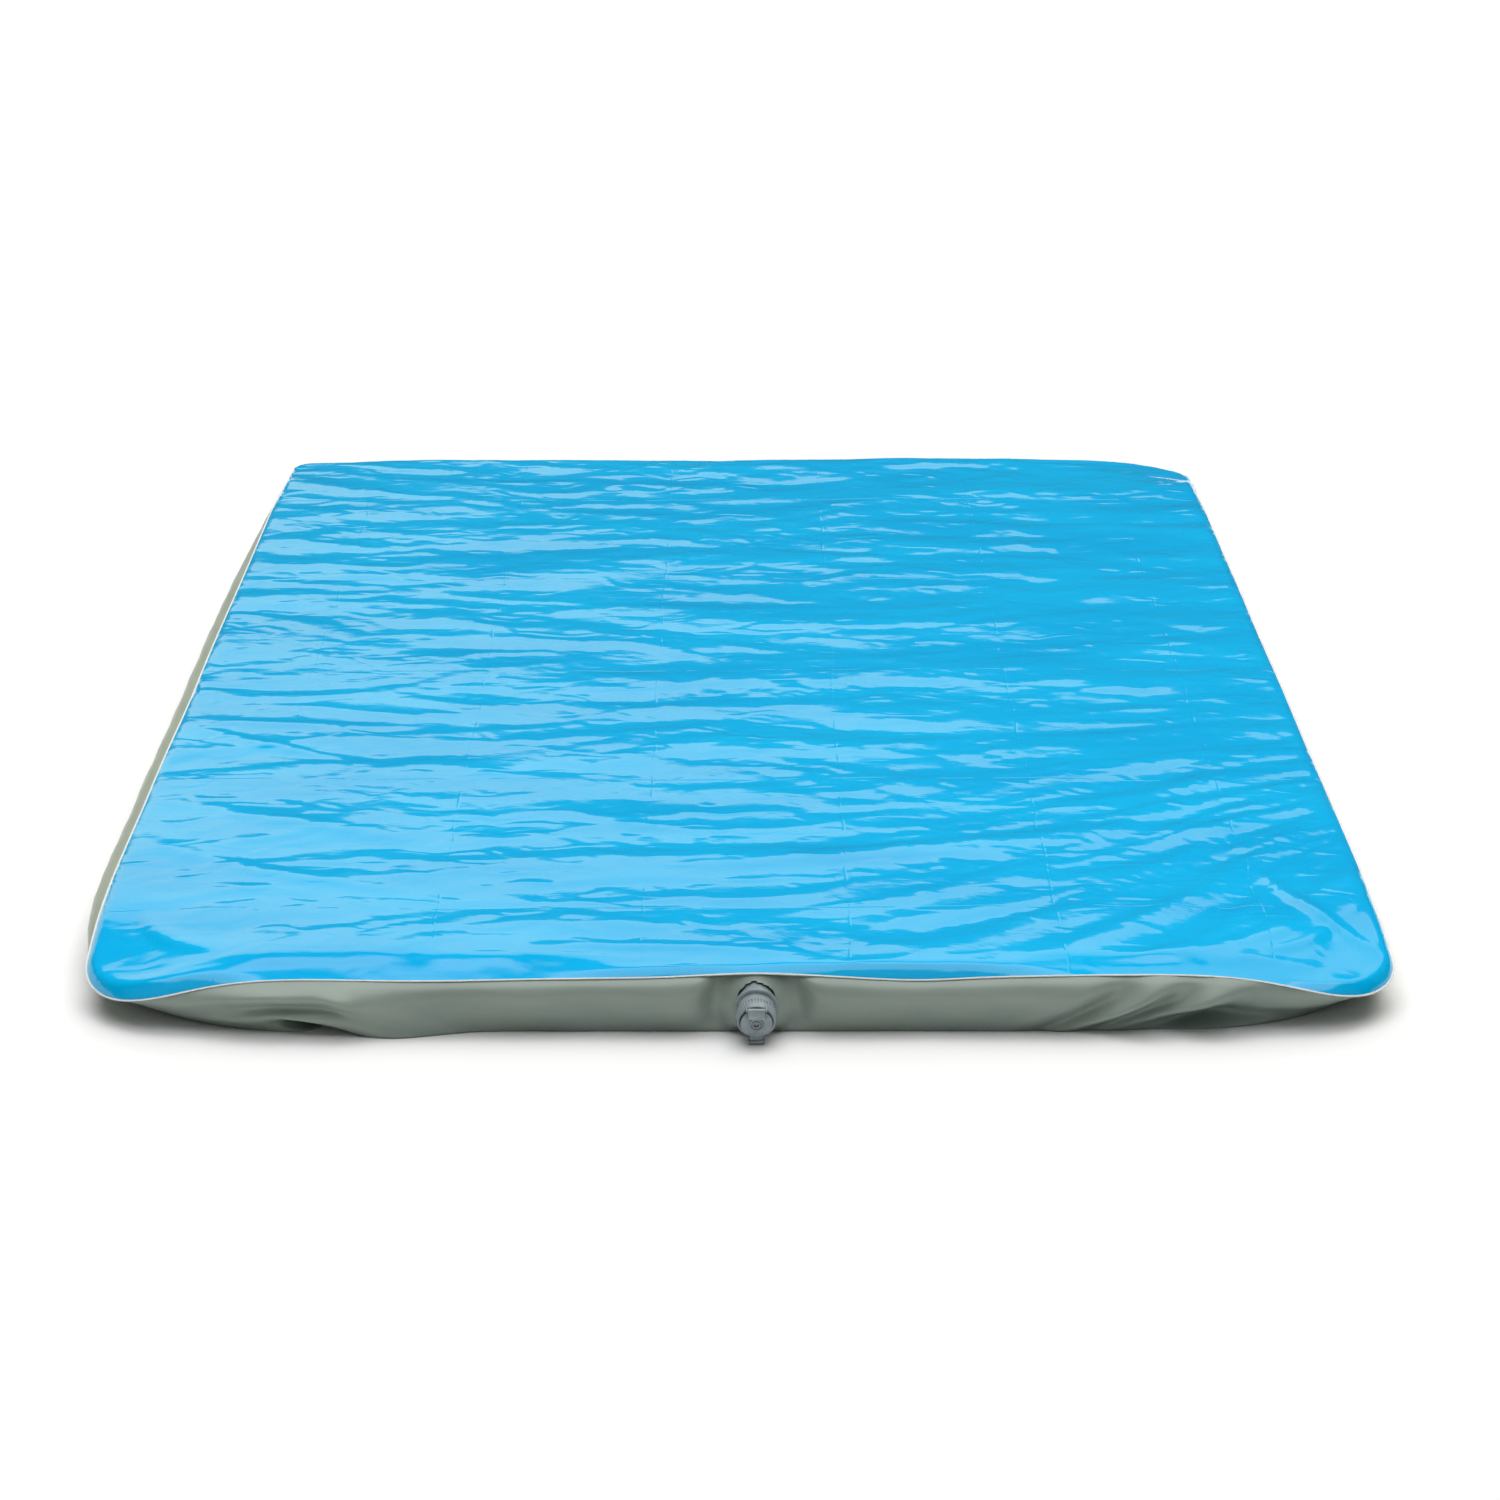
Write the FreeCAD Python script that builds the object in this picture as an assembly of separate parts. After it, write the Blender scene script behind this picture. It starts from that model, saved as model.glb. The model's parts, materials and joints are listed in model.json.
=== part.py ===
import FreeCAD, Part

"""Pressure relief mattress: a foam core in a sealed bladder, with a two-stage air valve in its foot wall.

Millimetres, +Z up, foot end at -Y. The origin is the middle of the flat underside.
The valve is drawn in a frame of its own: +Z out along its axis, +Y up, z = 0 at the foot wall.
"""
import math
import os

from FreeCAD import Placement, Rotation, Vector

# The bladder. The seam is the line where the top sheet is welded to the base tray.
seam_width = 1200.0
seam_length = 1900.0
seam_height = 52.0
seam_radius = 85.0
film = 1.2
backing = 0.6
band_thickness = 2.0
band_inside = 6.0
band_outside = 4.0

# Outlines of the bladder going up: height, growth beyond the seam on each side, corner radius.
wall_bulge = 13.0
tray_levels = [
    (0.0, 0.0, 150.0),
    (4.0, 4.0, 155.0),
    (20.0, 9.5, 150.0),
    (42.0, wall_bulge, 125.0),
    (seam_height - band_thickness / 2, 0.0, seam_radius),
]
sheet_levels = [
    (seam_height + band_thickness / 2, 0.0, seam_radius),
    (55.5, -10.0, 82.0),
    (58.5, -30.0, 80.0),
    (60.5, -64.0, 78.0),
]

# The foam core: one base slab, and on it two side rails with three zones between them.
core_inset = 48.0
core_radius = 130.0
slab_bottom = 2.0
slab_top = 27.0
zone_top = 57.5
rail_width = 72.0
heel_length = 470.0
head_length = 470.0
foam_gap = 0.5
slot_width = 4.0
slot_depth = 20.0
slot_pitch = 95.0
channel_depth = 12.0

# The spacer behind the valve.
spacer_width = 150.0
spacer_depth = 30.0
spacer_height = 40.0
spacer_bottom = 3.7
spacer_gap = 2.0
spacer_hole = 8.0
spacer_rows = 2

# The valve, in its own frame. The neck and its thread:
valve_offset = 14.5
valve_height = 28.5
valve_droop = 15.0
neck_radius = 17.0
neck_bore = 14.9
neck_inner_end = -17.0
neck_mouth = 11.0
collar_radius = 20.4
collar_thickness = 2.0
patch_radius = 22.0
patch_thickness = 1.2
pad_depth = 14.0
pad_spread = 3.0
wall_reach = 60.0
edge_break = 0.6

thread_pitch = 3.0
thread_root = 1.5
thread_crest = 0.9
thread_bite = 0.3
thread_start = -5.0
insert_turns = 1.5
insert_crest = 14.55
neck_turns = 4.0
neck_crest = 13.85

# The screw-in insert:
gasket_thickness = 1.0
gasket_clearance = 0.2
gasket_outer = 16.6
insert_radius = 13.6
insert_bore = 10.2
rim_radius = 18.8
rim_front_radius = 17.2
rim_back = neck_mouth + gasket_thickness
rim_shoulder = 17.0
rim_front = 23.0
recess_depth = 1.0
bore_chamfer = 0.7
grip_grooves = 40
grip_radius = 0.75
grip_centre = rim_radius + 0.25
grip_start = rim_back + 1.2
web_back = -10.0
web_thickness = 2.0
web_hub = 4.0
web_rim = insert_bore - 0.9
spoke_half = 1.0

# The one-way disc on its pin:
pin_radius = 1.5
pin_head_radius = 3.2
pin_head_thickness = 1.2
pin_inner_end = -15.0
membrane_radius = 12.2
membrane_thickness = 0.8
membrane_clearance = 0.1
web_gap = 0.05

# The stopper:
cap_radius = 14.25
cap_back = 24.0
cap_front = 26.6
cap_edge = 0.8
plug_mouth_radius = 9.8
plug_end_radius = 8.0
plug_end = 17.0
plug_wall = 1.8
seal_middle = 21.8
seal_thickness = 1.3
seal_radius = 9.8
seal_groove = 8.9
ring_radius = 6.4
boss_radius = 3.5
bead_width = 0.9
bead_height = 0.9
bead_slope = 0.3
tab_width = 11.6
tab_reach = 21.6
tab_thickness = 1.7
tab_root = 11.0
tab_corner = 1.2
lip_width = 14.6
lip_length = 3.6
lip_height = 1.4

# The strap and the bar that it turns on:
hinge_radial = 14.2
hinge_out = 25.75
bar_radius = 1.2
bar_clearance = 0.08
eye_radius = 2.4
strap_width = 15.6
strap_thickness = 1.7
strap_foot = 7.0
strap_crown = 30.4
post_gap = 0.25
post_width = 1.4
post_half = 1.4
post_sink = 4.0

ALONG_X = Vector(1, 0, 0)
ALONG_Y = Vector(0, 1, 0)
ALONG_Z = Vector(0, 0, 1)
CENTRE = Vector(0, 0, 0)


def rounded_outline(width, length, radius, height):
    """A closed wire: a rectangle with round corners, centred on the Z axis at a height."""
    x, y = width / 2 - radius, length / 2 - radius
    edges = []
    last = None
    for corner_x, corner_y, start in ((x, y, 0), (-x, y, 90), (-x, -y, 180), (x, -y, 270)):
        centre = Vector(corner_x, corner_y, height)
        angles = [math.radians(start + turn) for turn in (0, 45, 90)]
        points = [centre + Vector(math.cos(a), math.sin(a), 0) * radius for a in angles]
        if last is not None:
            edges.append(Part.makeLine(last, points[0]))
        edges.append(Part.Arc(*points).toShape())
        last = points[-1]
    edges.append(Part.makeLine(last, edges[0].Vertexes[0].Point))
    return Part.Wire(edges)


def outline_prism(inset, radius, bottom, top):
    """A block with the seam's outline moved in by inset."""
    wire = rounded_outline(seam_width - 2 * inset, seam_length - 2 * inset, radius, bottom)
    return Part.Face(wire).extrude(ALONG_Z * (top - bottom))


def stack(levels, grow=0.0):
    """A closed solid through the outlines of several levels, each grown by grow."""
    wires = []
    for height, beyond, radius in levels:
        width = seam_width + 2 * (beyond + grow)
        length = seam_length + 2 * (beyond + grow)
        wires.append(rounded_outline(width, length, radius + grow, height))
    return Part.makeLoft(wires, True, True)


def block(x0, x1, y0, y1, z0, z1):
    """A box from its limits."""
    return Part.makeBox(x1 - x0, y1 - y0, z1 - z0, Vector(x0, y0, z0))


def disc(radius, bottom, top):
    """A cylinder about the valve's axis."""
    return Part.makeCylinder(radius, top - bottom, Vector(0, 0, bottom))


def ring(outer, inner, bottom, top):
    """A plain tube about the valve's axis."""
    return disc(outer, bottom, top).cut(disc(inner, bottom, top))


def crossbar(radius, half_length, y, z):
    """A cylinder across the valve, along X."""
    return Part.makeCylinder(radius, 2 * half_length, Vector(-half_length, y, z), ALONG_X)


def turned(points):
    """A solid of revolution about the valve's axis from (radius, z) points."""
    face = Part.Face(Part.makePolygon([Vector(r, 0, z) for r, z in points + points[:1]]))
    return face.revolve(CENTRE, ALONG_Z, 360)


def thread(root_radius, crest_radius, start, turns):
    """A helical ridge from a root radius to a crest radius, outward or inward."""
    bite = math.copysign(thread_bite, root_radius - crest_radius)
    points = [
        Vector(root_radius + bite, 0, -thread_root / 2),
        Vector(crest_radius, 0, -thread_crest / 2),
        Vector(crest_radius, 0, thread_crest / 2),
        Vector(root_radius + bite, 0, thread_root / 2),
    ]
    helix = Part.Wire(Part.makeHelix(thread_pitch, thread_pitch * turns, root_radius))
    ridge = helix.makePipeShell([Part.makePolygon(points + points[:1])], True, True)
    ridge.translate(ALONG_Z * start)
    return ridge


def on_wall(shape):
    """Moves a shape from the valve's frame to its place in the foot wall."""
    moved = shape.copy()
    wall = Vector(valve_offset, -seam_length / 2 - wall_bulge, valve_height)
    moved.Placement = Placement(wall, Rotation(ALONG_X, 90 + valve_droop))
    return moved


def neck_room():
    """The space that the neck and its collar take out of the wall."""
    neck = disc(neck_radius, -wall_reach, wall_reach)
    return on_wall(neck.fuse(disc(collar_radius, 0, wall_reach)))


def base_tray():
    """Floor and side walls of the bladder, open at the top, with the valve's hole."""
    inner = [(height + film, beyond, radius) for height, beyond, radius in tray_levels[:2]]
    return stack(tray_levels).cut([stack(inner + tray_levels[2:], -film), neck_room()])


def valve_patch():
    """A welded plate round the valve, with a pad that fills the space between wall and collar."""
    reach = on_wall(disc(patch_radius, -wall_reach / 3, wall_reach / 3))
    plate = stack(tray_levels, patch_thickness).common(reach)
    cone = Part.makeCone(collar_radius + pad_spread, collar_radius, pad_depth, ALONG_Z * -pad_depth)
    pad = on_wall(cone).common(stack(tray_levels, pad_depth))
    return plate.fuse(pad).cut([stack(tray_levels), neck_room()])


def weld_band():
    """The flat flange where sheet and tray are welded together."""
    bottom, top = tray_levels[-1][0], sheet_levels[0][0]
    outer = outline_prism(-band_outside, seam_radius + band_outside, bottom, top)
    return outer.cut(outline_prism(band_inside, seam_radius - band_inside, bottom, top))


def sheet_below(drop):
    """The crowned space under the top sheet's outer face, lowered by drop."""
    lowered = [(height - drop, beyond, radius) for height, beyond, radius in sheet_levels[1:]]
    return stack(sheet_levels[:1] + lowered, -drop)


def foam_slab():
    return outline_prism(core_inset, core_radius, slab_bottom, slab_top)


def cut_lines(low, high):
    """Evenly spaced slot positions across a range."""
    count = int((high - low) / slot_pitch)
    step = (high - low) / (count + 1)
    return [low + k * step for k in range(1, count + 1)]


def slots(zone, depth, both_ways):
    """Straight cuts from the top of a zone: along its length, and across it too if both_ways."""
    x0, x1, y0, y1 = zone
    half = slot_width / 2
    cuts = [block(x - half, x + half, y0, y1, zone_top - depth, zone_top) for x in cut_lines(x0, x1)]
    if both_ways:
        cuts += [block(x0, x1, y - half, y + half, zone_top - depth, zone_top) for y in cut_lines(y0, y1)]
    return cuts


def foam_top():
    """The two rails and the three zones, as a dict of name to solid."""
    bottom = slab_top + foam_gap
    whole = outline_prism(core_inset, core_radius, bottom, zone_top)
    x = seam_width / 2 - core_inset
    y = seam_length / 2 - core_inset
    half = foam_gap / 2
    rail_x = x - rail_width
    heel_y = heel_length - y
    head_y = y - head_length
    zones = {
        "foam_rail_left": (-x, -rail_x - half, -y, y),
        "foam_rail_right": (rail_x + half, x, -y, y),
        "foam_heel_zone": (half - rail_x, rail_x - half, -y, heel_y - half),
        "foam_torso_zone": (half - rail_x, rail_x - half, heel_y + half, head_y - half),
        "foam_head_zone": (half - rail_x, rail_x - half, head_y + half, y),
    }
    made = {name: whole.common(block(*zone, bottom, zone_top)) for name, zone in zones.items()}
    for name, depth, both_ways in (
        ("foam_heel_zone", slot_depth, False),
        ("foam_torso_zone", slot_depth, True),
        ("foam_head_zone", channel_depth, False),
    ):
        made[name] = made[name].cut(slots(zones[name], depth, both_ways))
    return made


def air_spacer():
    """An open block that keeps film and foam off the inner end of the valve."""
    back = core_inset - spacer_gap - seam_length / 2
    front = back - spacer_depth
    top = spacer_bottom + spacer_height
    body = block(-spacer_width / 2, spacer_width / 2, front, back, spacer_bottom, top)
    across = 2 * spacer_hole
    up = spacer_height / spacer_rows
    holes = []
    for row in range(spacer_rows):
        for column in range(int(spacer_width / across)):
            x = (column + 0.5) * across + spacer_hole / 2 - spacer_width / 2
            foot = Vector(x, front, spacer_bottom + (row + 0.5) * up)
            holes.append(Part.makeCylinder(spacer_hole / 2, spacer_depth, foot, ALONG_Y))
    return body.cut(holes)


def valve_neck():
    """The socket welded into the wall, with a collar outside and a thread inside."""
    body = turned([
        (neck_bore, neck_inner_end),
        (neck_radius, neck_inner_end),
        (neck_radius, 0),
        (collar_radius, 0),
        (collar_radius, collar_thickness - edge_break),
        (collar_radius - edge_break, collar_thickness),
        (neck_radius, collar_thickness + edge_break),
        (neck_radius, neck_mouth - edge_break),
        (neck_radius - edge_break, neck_mouth),
        (neck_bore, neck_mouth),
    ])
    return body.fuse(thread(neck_bore, neck_crest, thread_start - thread_pitch / 2, neck_turns))


def insert_gasket():
    return ring(gasket_outer, insert_radius + gasket_clearance, neck_mouth, rim_back)


def grip_cuts():
    """Flutes round the rim for the fingers."""
    cuts = []
    for k in range(grip_grooves):
        angle = 2 * math.pi * (k + 0.5) / grip_grooves
        foot = Vector(grip_centre * math.cos(angle), grip_centre * math.sin(angle), grip_start)
        cuts.append(Part.makeCylinder(grip_radius, rim_front - rim_back, foot))
    return cuts


def web():
    """The spoked plate across the insert's inner end, with the pin's hole."""
    web_front = web_back + web_thickness
    openings = ring(web_rim, web_hub, web_back, web_front)
    openings = openings.cut([
        block(-spoke_half, spoke_half, -insert_bore, insert_bore, web_back, web_front),
        block(-insert_bore, insert_bore, -spoke_half, spoke_half, web_back, web_front),
    ])
    plate = disc(insert_bore + thread_bite, web_back, web_front)
    return plate.cut([openings, disc(pin_radius, web_back, web_front)])


def strap_posts():
    """Two posts on the rim's face and the bar between them, which the strap turns on."""
    near = strap_width / 2 + post_gap
    far = near + post_width
    low, high = hinge_radial - post_half, hinge_radial + post_half
    pieces = []
    for x0, x1 in ((-far, -near), (near, far)):
        pieces.append(block(x0, x1, low, high, rim_front - post_sink, hinge_out))
        pieces.append(Part.makeCylinder(post_half, post_width, Vector(x0, hinge_radial, hinge_out), ALONG_X))
    pieces.append(crossbar(bar_radius, near + post_width / 2, hinge_radial, hinge_out))
    return pieces


def valve_insert():
    """The screw-in body: a fluted rim, a threaded tube, and a spoked web at its inner end."""
    recess = rim_front - recess_depth
    body = turned([
        (insert_bore, web_back),
        (insert_radius, web_back),
        (insert_radius, rim_back),
        (rim_radius - edge_break, rim_back),
        (rim_radius, rim_back + edge_break),
        (rim_radius, rim_shoulder),
        (rim_front_radius, rim_front - edge_break),
        (rim_front_radius - edge_break, rim_front),
        (cap_radius + recess_depth, rim_front),
        (cap_radius, recess),
        (insert_bore + bore_chamfer, recess),
        (insert_bore, recess - bore_chamfer),
    ])
    ridge = thread(insert_radius, insert_crest, thread_start, insert_turns)
    return body.cut(grip_cuts()).fuse([web(), ridge] + strap_posts())


def membrane_pin():
    """A mushroom pin through the web, whose inner head keeps the membrane."""
    web_front = web_back + web_thickness
    shaft = disc(pin_radius, pin_inner_end, web_front)
    inner_head = disc(pin_head_radius, pin_inner_end, pin_inner_end + pin_head_thickness)
    outer_head = disc(pin_head_radius, web_front, web_front + pin_head_thickness)
    return shaft.fuse([inner_head, outer_head])


def check_membrane():
    front = web_back - web_gap
    return ring(membrane_radius, pin_radius + membrane_clearance, front - membrane_thickness, front)


def strap():
    """The arch from the cap's face to the eye on the bar, drawn in the Y-Z plane."""
    across = (strap_foot + hinge_radial) / 2
    eye_top = hinge_out + eye_radius

    def arch(rise):
        foot = Vector(0, strap_foot - rise, cap_front - edge_break)
        crown = Vector(0, across, strap_crown - strap_thickness + rise)
        end = Vector(0, hinge_radial, eye_top - strap_thickness + rise)
        return foot, crown, end

    inner, outer = arch(0), arch(strap_thickness)
    edges = [
        Part.Arc(*inner).toShape(),
        Part.makeLine(inner[2], outer[2]),
        Part.Arc(outer[2], outer[1], outer[0]).toShape(),
        Part.makeLine(outer[0], inner[0]),
    ]
    band = Part.Face(Part.Wire(edges)).extrude(ALONG_X * strap_width)
    band.translate(ALONG_X * (-strap_width / 2))
    return band.fuse(crossbar(eye_radius, strap_width / 2, hinge_radial, hinge_out))


def finger_tab():
    """The tab at the foot of the cap, with a lip turned out at its end."""
    middle = (cap_back + cap_front) / 2
    back, front = middle - tab_thickness / 2, middle + tab_thickness / 2
    half = tab_width / 2
    flat = block(-half, half, -tab_reach, -tab_root, back, front)
    lip = block(-lip_width / 2, lip_width / 2, -tab_reach, lip_length - tab_reach, back, front + lip_height)
    tab = flat.fuse(lip)
    corners = [
        edge for edge in tab.Edges
        if edge.BoundBox.YLength < edge_break and edge.BoundBox.XLength < edge_break
        and edge.BoundBox.YMin < edge_break - tab_reach
    ]
    return tab.makeFillet(tab_corner, corners)


def stopper():
    """Cap, tapered plug, finger tab and strap in one moulding."""
    half = seal_thickness / 2
    floor = plug_end + plug_wall
    face = cap_front + bead_height
    body = turned([
        (0, floor),
        (plug_end_radius - plug_wall, floor),
        (plug_end_radius - plug_wall, plug_end),
        (plug_end_radius, plug_end),
        (seal_groove, seal_middle - half),
        (seal_groove, seal_middle + half),
        (plug_mouth_radius, seal_middle + half),
        (plug_mouth_radius, cap_back),
        (cap_radius - edge_break, cap_back),
        (cap_radius, cap_back + edge_break),
        (cap_radius, cap_front - cap_edge),
        (cap_radius - cap_edge, cap_front),
        (ring_radius + bead_slope, cap_front),
        (ring_radius, face),
        (ring_radius - bead_width, face),
        (ring_radius - bead_width - bead_slope, cap_front),
        (boss_radius + bead_slope, cap_front),
        (boss_radius, face),
        (boss_radius - bead_width, face),
        (boss_radius - bead_width - bead_slope, cap_front - edge_break),
        (0, cap_front - edge_break),
    ])
    eye = crossbar(bar_radius + bar_clearance, strap_width / 2, hinge_radial, hinge_out)
    return body.fuse([finger_tab(), strap()]).cut(eye)


def stopper_seal():
    return ring(seal_radius, seal_groove, seal_middle - seal_thickness / 2, seal_middle + seal_thickness / 2)


def build():
    """Every node of the object, as a dict of name to shape."""
    nodes = {
        "base_tray": base_tray(),
        "weld_band": weld_band(),
        "top_sheet": sheet_below(0).cut(sheet_below(film - backing)),
        "knit_backing": sheet_below(film - backing).cut(sheet_below(film)),
        "foam_base_slab": foam_slab(),
        "air_spacer": air_spacer(),
        "valve_patch": valve_patch(),
    }
    nodes.update(foam_top())
    in_valve = (valve_neck, insert_gasket, valve_insert, membrane_pin, check_membrane, stopper, stopper_seal)
    for make in in_valve:
        nodes[make.__name__] = on_wall(make())
    return nodes


def main():
    os.makedirs("parts", exist_ok=True)
    for name, shape in build().items():
        shape.exportStep(f"parts/{name}.step")
        volume = round(shape.Volume / 1000, 2)
        print(name, "valid", shape.isValid(), "solids", len(shape.Solids), "cm3", volume)


main()
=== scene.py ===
import json
import math

import bpy
import numpy as np
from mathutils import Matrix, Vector


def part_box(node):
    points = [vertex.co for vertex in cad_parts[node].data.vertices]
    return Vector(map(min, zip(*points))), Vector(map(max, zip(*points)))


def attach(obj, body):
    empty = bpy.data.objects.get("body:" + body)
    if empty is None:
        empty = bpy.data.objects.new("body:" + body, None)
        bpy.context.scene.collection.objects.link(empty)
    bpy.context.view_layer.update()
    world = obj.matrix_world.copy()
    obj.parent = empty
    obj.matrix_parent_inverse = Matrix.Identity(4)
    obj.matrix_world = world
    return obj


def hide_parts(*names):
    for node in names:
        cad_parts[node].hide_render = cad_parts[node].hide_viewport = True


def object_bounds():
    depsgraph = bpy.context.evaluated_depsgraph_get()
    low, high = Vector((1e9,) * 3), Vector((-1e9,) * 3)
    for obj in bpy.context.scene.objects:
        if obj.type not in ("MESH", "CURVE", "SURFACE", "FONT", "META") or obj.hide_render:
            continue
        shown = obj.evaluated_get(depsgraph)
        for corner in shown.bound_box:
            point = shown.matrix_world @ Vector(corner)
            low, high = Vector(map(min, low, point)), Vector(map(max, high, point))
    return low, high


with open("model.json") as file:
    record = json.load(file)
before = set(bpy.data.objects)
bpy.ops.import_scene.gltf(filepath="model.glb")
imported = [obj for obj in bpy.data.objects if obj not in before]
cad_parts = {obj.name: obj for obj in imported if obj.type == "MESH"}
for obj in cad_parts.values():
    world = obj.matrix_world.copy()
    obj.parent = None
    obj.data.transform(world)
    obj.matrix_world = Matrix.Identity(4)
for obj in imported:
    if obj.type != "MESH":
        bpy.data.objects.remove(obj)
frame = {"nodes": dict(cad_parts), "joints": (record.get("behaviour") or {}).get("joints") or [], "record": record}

MM = 0.001
cad_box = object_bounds()

# ---- Measures from the frame ----

sheet_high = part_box("top_sheet")[1]
band_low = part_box("weld_band")[0]
tray_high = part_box("base_tray")[1]
HALF_WIDTH = sheet_high.x
HALF_LENGTH = sheet_high.y
SEAM_Z = band_low.z
BULGE = tray_high.x - sheet_high.x
CROWN_Z = sheet_high.z

travel = next(joint for joint in frame["joints"] if joint["name"] == "insert_travel")
turn = next(joint for joint in frame["joints"] if joint["name"] == "insert_turn")
VALVE_OUT = Vector(travel["axis"])
VALVE_SEAT = Vector(turn["pos_m"])

# ---- Outline of the seam, as it lies ----

# Keys are (side, end): side -1 is left and 1 right, end -1 is the foot and 1 the head.
SEAM_RADIUS = {(-1, -1): 86 * MM, (1, -1): 84 * MM, (-1, 1): 30 * MM, (1, 1): 96 * MM}
FLOOR_RADIUS = 205 * MM
FLOOR_INSET = -1 * MM
CORNER_DROOP = {(-1, -1): 27 * MM, (1, -1): 24 * MM, (-1, 1): 6 * MM, (1, 1): 8 * MM}
DROOP_REACH = 92 * MM
TUCK_REACH = 135 * MM
GRID_STEP = 5 * MM
WALL_ROWS = 26
CORE_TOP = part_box("foam_torso_zone")[1].z
CORE_CLEAR = 0.7 * MM
CORE_RADIUS = 130 * MM
CORE_MARGIN = (-70 * MM, -6 * MM)
RAMP_LENGTH = 33 * MM
# How quickly the film comes up to its level inside the seam, away from the ramps.
SHOULDER_MM = 2.6
FILM_LIFT = 0.9 * MM
# Where the foot seam rises, or dips if negative: height in mm, place along X and reach in metres.
FOOT_WAVES = [(4.5, VALVE_SEAT.x, 0.07), (3.0, 0.38, 0.15), (-2.6, -0.29, 0.10), (-2.4, 0.16, 0.05)]
SEAM_WANDER_MM, SEAM_WANDER_SIZE = 1.6, 0.21
SIDE_RISE_MM = 7.0
LEFT_PULL_MM, RIGHT_PULL_MM = 1.5, 5.0


def lattice_noise(x, y, seed):
    """Smooth gradient noise from about -0.7 to 0.7, one cell per unit."""
    table = np.random.default_rng(seed).uniform(0, 2 * np.pi, (256, 256))
    left, low = np.floor(x).astype(int), np.floor(y).astype(int)
    u, v = x - left, y - low
    smooth_u, smooth_v = u**3 * (u * (u * 6 - 15) + 10), v**3 * (v * (v * 6 - 15) + 10)

    def corner(i, j):
        angle = table[(left + i) % 256, (low + j) % 256]
        return np.cos(angle) * (u - i) + np.sin(angle) * (v - j)

    bottom = corner(0, 0) * (1 - smooth_u) + corner(1, 0) * smooth_u
    top = corner(0, 1) * (1 - smooth_u) + corner(1, 1) * smooth_u
    return bottom * (1 - smooth_v) + top * smooth_v


def ease(value, low, high):
    """0 below low, 1 above high, and smooth between them."""
    t = np.clip((value - low) / (high - low), 0, 1)
    return t * t * (3 - 2 * t)


def bump_at(value, centre, reach):
    """A soft hump of height 1 about a centre."""
    return np.exp(-(((value - centre) / reach) ** 2))


def corner_droop(x, y):
    """How far the seam hangs at the four corners."""
    total = np.zeros_like(x)
    for (side, end), depth in CORNER_DROOP.items():
        inset = SEAM_RADIUS[side, end] * (1 - math.sqrt(0.5))
        away_x = x - side * (HALF_WIDTH - inset)
        away_y = y - end * (HALF_LENGTH - inset)
        total += depth * np.exp(-(away_x**2 + away_y**2) / DROOP_REACH**2)
    return total


def seam_height(x, y):
    """The seam's height above the floor, which rises over the valve and hangs at the corners."""
    foot = ease(-y, HALF_LENGTH - 0.25, HALF_LENGTH)
    waves = sum(height * bump_at(x, centre, reach) for height, centre, reach in FOOT_WAVES)
    loose = SEAM_WANDER_MM * lattice_noise(x / SEAM_WANDER_SIZE, y / SEAM_WANDER_SIZE, 5)
    raised = SIDE_RISE_MM * ease(np.abs(x), 0.5, 0.6) * ease(HALF_LENGTH - np.abs(y), 0.05, 0.3)
    return SEAM_Z + (waves * foot + loose * (1 - foot) + raised) * MM - corner_droop(x, y)


def side_shift(x, y):
    """How far the middle of each long side of the seam is moved to the right."""
    middle = ease(HALF_LENGTH - np.abs(y), 0.03, 0.22)
    left = LEFT_PULL_MM * ease(-x, 0.3, 0.6) * (0.8 + 0.9 * lattice_noise(y / 0.3, x * 0, 8))
    right = RIGHT_PULL_MM * ease(x, 0.3, 0.6)
    return (left - right) * middle * MM


def round_corners(x, y):
    """Moves the points of a plain rectangle so that its corners are round."""
    x, y = x.copy(), y.copy()
    for (side, end), radius in SEAM_RADIUS.items():
        a = (x * side - (HALF_WIDTH - radius)) / radius
        b = (y * end - (HALF_LENGTH - radius)) / radius
        inside = (a > 0) & (b > 0)
        round_a = a * np.sqrt(np.maximum(1 - b * b / 2, 0))
        round_b = b * np.sqrt(np.maximum(1 - a * a / 2, 0))
        x = np.where(inside, side * (HALF_WIDTH - radius + round_a * radius), x)
        y = np.where(inside, end * (HALF_LENGTH - radius + round_b * radius), y)
    return x, y


def inset_from_seam(x, y):
    """Distance inside the seam's outline."""
    nearest = np.minimum(HALF_WIDTH - np.abs(x), HALF_LENGTH - np.abs(y))
    for (side, end), radius in SEAM_RADIUS.items():
        a = x * side - (HALF_WIDTH - radius)
        b = y * end - (HALF_LENGTH - radius)
        nearest = np.where((a > 0) & (b > 0), radius - np.hypot(a, b), nearest)
    return np.maximum(nearest, 0)


# ---- Wrinkles of the stretched film ----

# Places along the left side, in metres from the middle, where the film gathers to the seam.
LEFT_GATHERS = (-0.236, -0.52, 0.1)
# Creases by size: height in mm, length and width in metres, seed of the noise, and what is added to it.
BROAD_CREASE = (4.8, 0.50, 0.120, 31, 0.12)
LONG_CREASE = (-3.4, 0.17, 0.072, 32, -0.10)
SHORT_CREASE = (1.35, 0.075, 0.042, 34)
SMALL_CREASE = (-0.32, 0.032, 0.022, 35)
FOOT_CREASE = (-0.34, 0.040, 0.026, 38)
SLANTED_CREASE = (1.6, 0.16, 0.046)
# The slanted creases' turns from the others, in radians, with their seeds.
SLANTS = ((0.42, 36), (-0.50, 37))
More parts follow.
